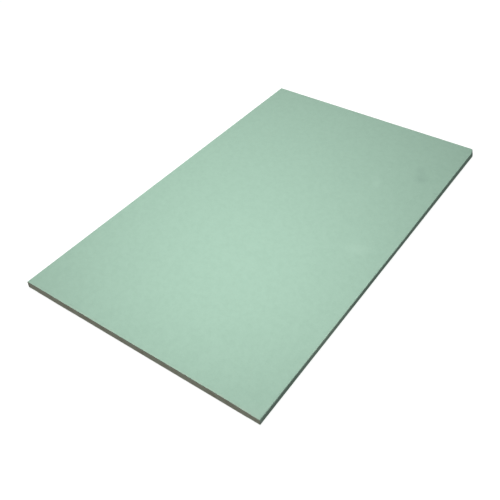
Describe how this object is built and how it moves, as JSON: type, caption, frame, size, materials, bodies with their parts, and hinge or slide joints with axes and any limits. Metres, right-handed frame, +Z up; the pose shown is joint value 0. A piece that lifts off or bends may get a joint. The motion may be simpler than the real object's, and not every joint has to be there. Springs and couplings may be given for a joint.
{
  "type": "moisture-resistant plasterboard",
  "caption": "Flat rectangular sheet of paper-faced gypsum board with a pale green face, square papered long edges and square-cut ends, for lining damp rooms.",
  "frame": {"origin": "centre of the underside, on the surface that the sheet lies on", "axes": "+X along the length, +Y across the width, +Z up through the thickness, out of the green face"},
  "size_m": [0.75, 0.46, 0.0125],
  "materials": {
    "green_face_paper": "matte pale green liner paper with a faint fibre grain; the cut ends show the pale grey gypsum core"
  },
  "bodies": {
    "root": {"plasterboard_sheet": "green_face_paper"}
  },
  "joints": []
}
